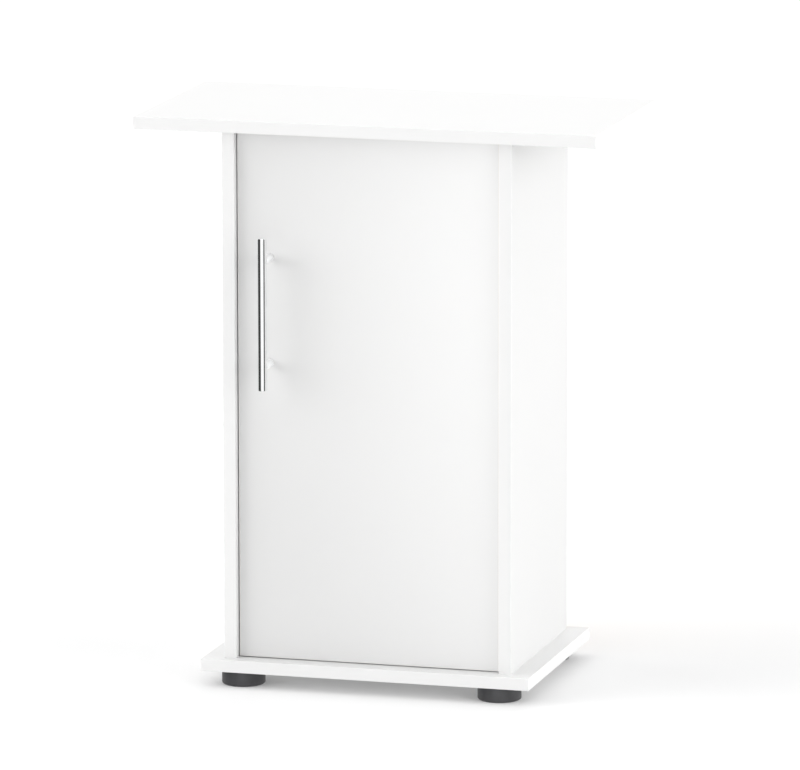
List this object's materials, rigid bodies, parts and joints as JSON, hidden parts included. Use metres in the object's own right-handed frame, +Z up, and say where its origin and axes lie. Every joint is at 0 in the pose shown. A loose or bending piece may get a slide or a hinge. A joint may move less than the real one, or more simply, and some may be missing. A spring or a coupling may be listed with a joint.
{
  "type": "aquarium stand cabinet",
  "caption": "White aquarium stand cabinet: wide tank top, narrower body with one inset door on concealed hinges, upright bar handle, shelf, base panel and round feet.",
  "frame": {"origin": "on the floor, under the middle of the whole outline, handle included", "axes": "+Z up, the door and its handle face -Y, +X to the right of someone facing the door"},
  "size_m": [0.605, 0.325, 0.735],
  "materials": {
    "white_board": "white melamine facing, satin, on particle board",
    "white_edging": "white edging tape, satin",
    "white_hardboard": "white lacquered thin hardboard",
    "dark_plastic": "dark grey moulded plastic, fine grain",
    "chrome": "bright chrome plating",
    "nickel_steel": "nickel-plated steel",
    "zinc_steel": "zinc-plated steel",
    "beech": "plain beech",
    "white_plastic": "white moulded plastic",
    "ferrite": "dark ferrite magnet between steel pole plates"
  },
  "bodies": {
    "cabinet": {"back_panel": "white_hardboard", "base_edge_bands": "white_edging", "base_panel": "white_board", "base_screws": "zinc_steel", "cam_bolts": "zinc_steel", "cam_locks": "nickel_steel", "catch_housing": "white_plastic", "catch_magnet": "ferrite", "catch_screws": "zinc_steel", "dowels": "beech", "foot_front_left": "dark_plastic", "foot_front_right": "dark_plastic", "foot_rear_left": "dark_plastic", "foot_rear_right": "dark_plastic", "foot_screws": "zinc_steel", "hinge_arm_lower": "nickel_steel", "hinge_arm_screws": "zinc_steel", "hinge_arm_upper": "nickel_steel", "hinge_plate_lower": "nickel_steel", "hinge_plate_screws": "zinc_steel", "hinge_plate_upper": "nickel_steel", "left_side_edge_band": "white_edging", "left_side_panel": "white_board", "right_side_edge_band": "white_edging", "right_side_panel": "white_board", "shelf": "white_board", "shelf_edge_band": "white_edging", "shelf_pins": "zinc_steel", "top_edge_bands": "white_edging", "top_panel": "white_board"},
    "door": {"door_panel": "white_board", "door_edge_bands": "white_edging", "handle_bar": "chrome", "handle_post_upper": "chrome", "handle_post_lower": "chrome", "handle_screws": "zinc_steel", "hinge_cup_upper": "nickel_steel", "hinge_cup_lower": "nickel_steel", "hinge_pin_upper": "zinc_steel", "hinge_pin_lower": "zinc_steel", "hinge_cup_screws": "zinc_steel", "strike_plate": "nickel_steel", "strike_screw": "zinc_steel"}
  },
  "joints": [
    {"name": "door_hinge", "type": "hinge", "parent": "cabinet", "child": "door", "pos_m": [0.158, -0.1153, 0.3775], "axis": [0, 0, 1], "range_deg": [0, 100]}
  ]
}
